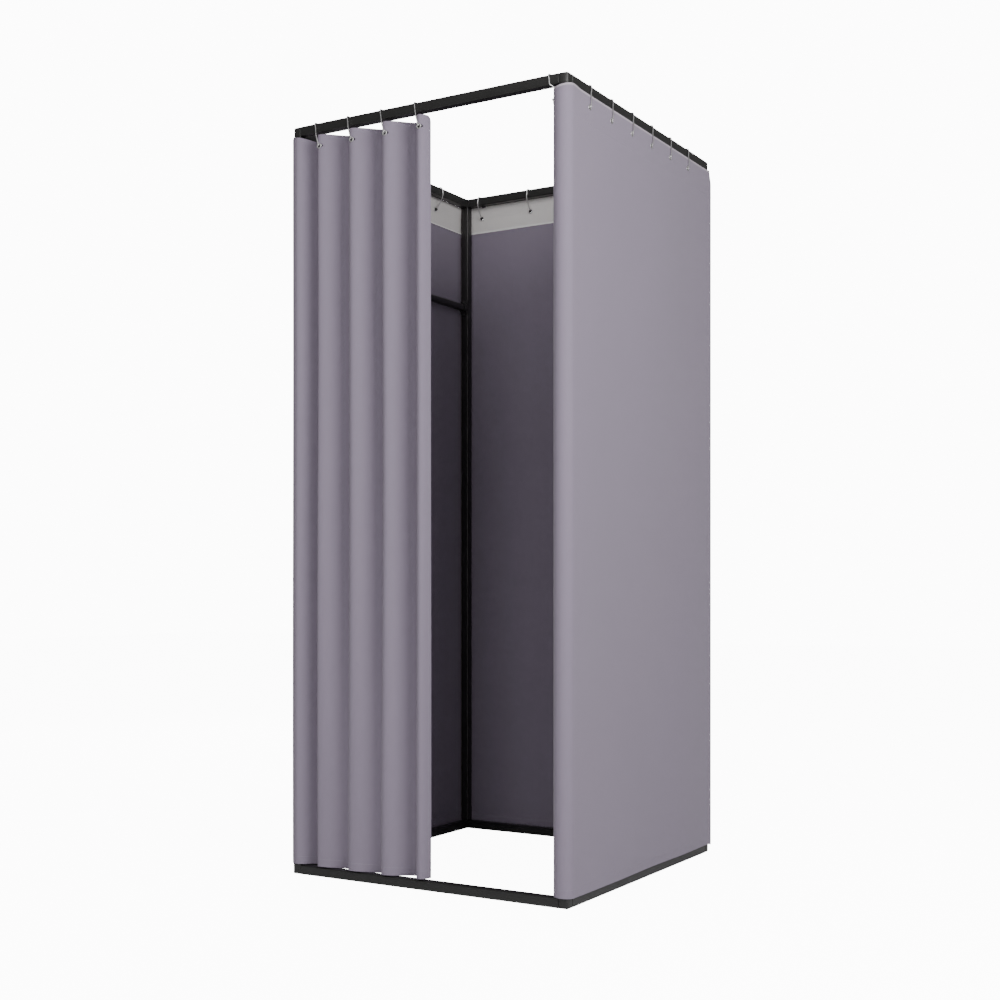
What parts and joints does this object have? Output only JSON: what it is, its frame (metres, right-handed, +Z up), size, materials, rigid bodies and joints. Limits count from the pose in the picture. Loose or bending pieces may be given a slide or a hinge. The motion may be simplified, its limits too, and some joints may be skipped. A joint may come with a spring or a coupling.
{
  "type": "portable fitting room",
  "caption": "Free-standing changing cabin of square steel tube with ring-hung wall curtains, a door curtain that draws along the front rail and a clothes rail inside.",
  "frame": {"origin": "on the floor, under the middle of the frame", "axes": "+Z up, -Y out of the doorway, +X to the right as seen from the front, where the door curtain draws towards +X to close"},
  "size_m": [0.8589, 0.8889, 2.0036],
  "materials": {
    "frame_steel": "satin black powder coat",
    "corner_fitting": "matte black moulding",
    "curtain_cloth": "plain woven polyester, grey-lilac",
    "header_cloth": "pale woven heading band",
    "bright_wire": "bright steel wire and eyelets"
  },
  "bodies": {
    "root": {"base_corner_front_left": "corner_fitting", "base_corner_front_right": "corner_fitting", "base_corner_rear_left": "corner_fitting", "base_corner_rear_right": "corner_fitting", "base_rail_front": "frame_steel", "base_rail_rear": "frame_steel", "base_rail_left": "frame_steel", "base_rail_right": "frame_steel", "post_front_left": "frame_steel", "post_front_right": "frame_steel", "post_rear_left": "frame_steel", "post_rear_right": "frame_steel", "top_corner_front_left": "corner_fitting", "top_corner_front_right": "corner_fitting", "top_corner_rear_left": "corner_fitting", "top_corner_rear_right": "corner_fitting", "top_rail_front": "frame_steel", "top_rail_rear": "frame_steel", "top_rail_left": "frame_steel", "top_rail_right": "frame_steel", "clothes_rail": "frame_steel", "clothes_rail_socket_front": "corner_fitting", "clothes_rail_socket_rear": "corner_fitting", "wall_curtain_right": "curtain_cloth", "wall_curtain_left": "curtain_cloth", "wall_curtain_rear": "curtain_cloth", "wall_curtain_return": "curtain_cloth", "door_curtain_corner": "curtain_cloth", "ring_return": "bright_wire", "ring_right_1": "bright_wire", "ring_right_2": "bright_wire", "ring_right_3": "bright_wire", "ring_right_4": "bright_wire", "ring_right_5": "bright_wire", "ring_right_6": "bright_wire", "ring_left_1": "bright_wire", "ring_left_2": "bright_wire", "ring_left_3": "bright_wire", "ring_left_4": "bright_wire", "ring_left_5": "bright_wire", "ring_left_6": "bright_wire", "ring_rear_1": "bright_wire", "ring_rear_2": "bright_wire", "ring_rear_3": "bright_wire", "ring_rear_4": "bright_wire", "ring_rear_5": "bright_wire"},
    "valley_1": {"door_curtain_valley_1": "curtain_cloth"},
    "ridge_1": {"door_curtain_ridge_1": "curtain_cloth", "ring_door_1": "bright_wire"},
    "valley_2": {"door_curtain_valley_2": "curtain_cloth"},
    "ridge_2": {"door_curtain_ridge_2": "curtain_cloth", "ring_door_2": "bright_wire"},
    "valley_3": {"door_curtain_valley_3": "curtain_cloth"},
    "ridge_3": {"door_curtain_ridge_3": "curtain_cloth", "ring_door_3": "bright_wire"},
    "valley_4": {"door_curtain_valley_4": "curtain_cloth"},
    "ridge_4": {"door_curtain_ridge_4": "curtain_cloth", "ring_door_4": "bright_wire"}
  },
  "joints": [
    {"name": "door_curtain_draw", "type": "slide", "parent": "root", "child": "valley_1", "axis": [0.5825, -0.8128, 0], "range_m": [0, 0.0738]},
    {"name": "ring_1_slide", "type": "slide", "parent": "valley_1", "child": "ridge_1", "axis": [0.5825, 0.8128, 0], "range_m": [0, 0.0738]},
    {"name": "valley_2_opens", "type": "slide", "parent": "ridge_1", "child": "valley_2", "axis": [0.5825, -0.8128, 0], "range_m": [0, 0.0738]},
    {"name": "ring_2_slide", "type": "slide", "parent": "valley_2", "child": "ridge_2", "axis": [0.5825, 0.8128, 0], "range_m": [0, 0.0738]},
    {"name": "valley_3_opens", "type": "slide", "parent": "ridge_2", "child": "valley_3", "axis": [0.5825, -0.8128, 0], "range_m": [0, 0.0738]},
    {"name": "ring_3_slide", "type": "slide", "parent": "valley_3", "child": "ridge_3", "axis": [0.5825, 0.8128, 0], "range_m": [0, 0.0738]},
    {"name": "valley_4_opens", "type": "slide", "parent": "ridge_3", "child": "valley_4", "axis": [0.5825, -0.8128, 0], "range_m": [0, 0.0738]},
    {"name": "ring_4_slide", "type": "slide", "parent": "valley_4", "child": "ridge_4", "axis": [0.5825, 0.8128, 0], "range_m": [0, 0.0738]}
  ],
  "couplings": [
    {"joint": "ring_1_slide", "follows": "door_curtain_draw", "ratio": 1},
    {"joint": "valley_2_opens", "follows": "door_curtain_draw", "ratio": 1},
    {"joint": "ring_2_slide", "follows": "door_curtain_draw", "ratio": 1},
    {"joint": "valley_3_opens", "follows": "door_curtain_draw", "ratio": 1},
    {"joint": "ring_3_slide", "follows": "door_curtain_draw", "ratio": 1},
    {"joint": "valley_4_opens", "follows": "door_curtain_draw", "ratio": 1},
    {"joint": "ring_4_slide", "follows": "door_curtain_draw", "ratio": 1}
  ]
}
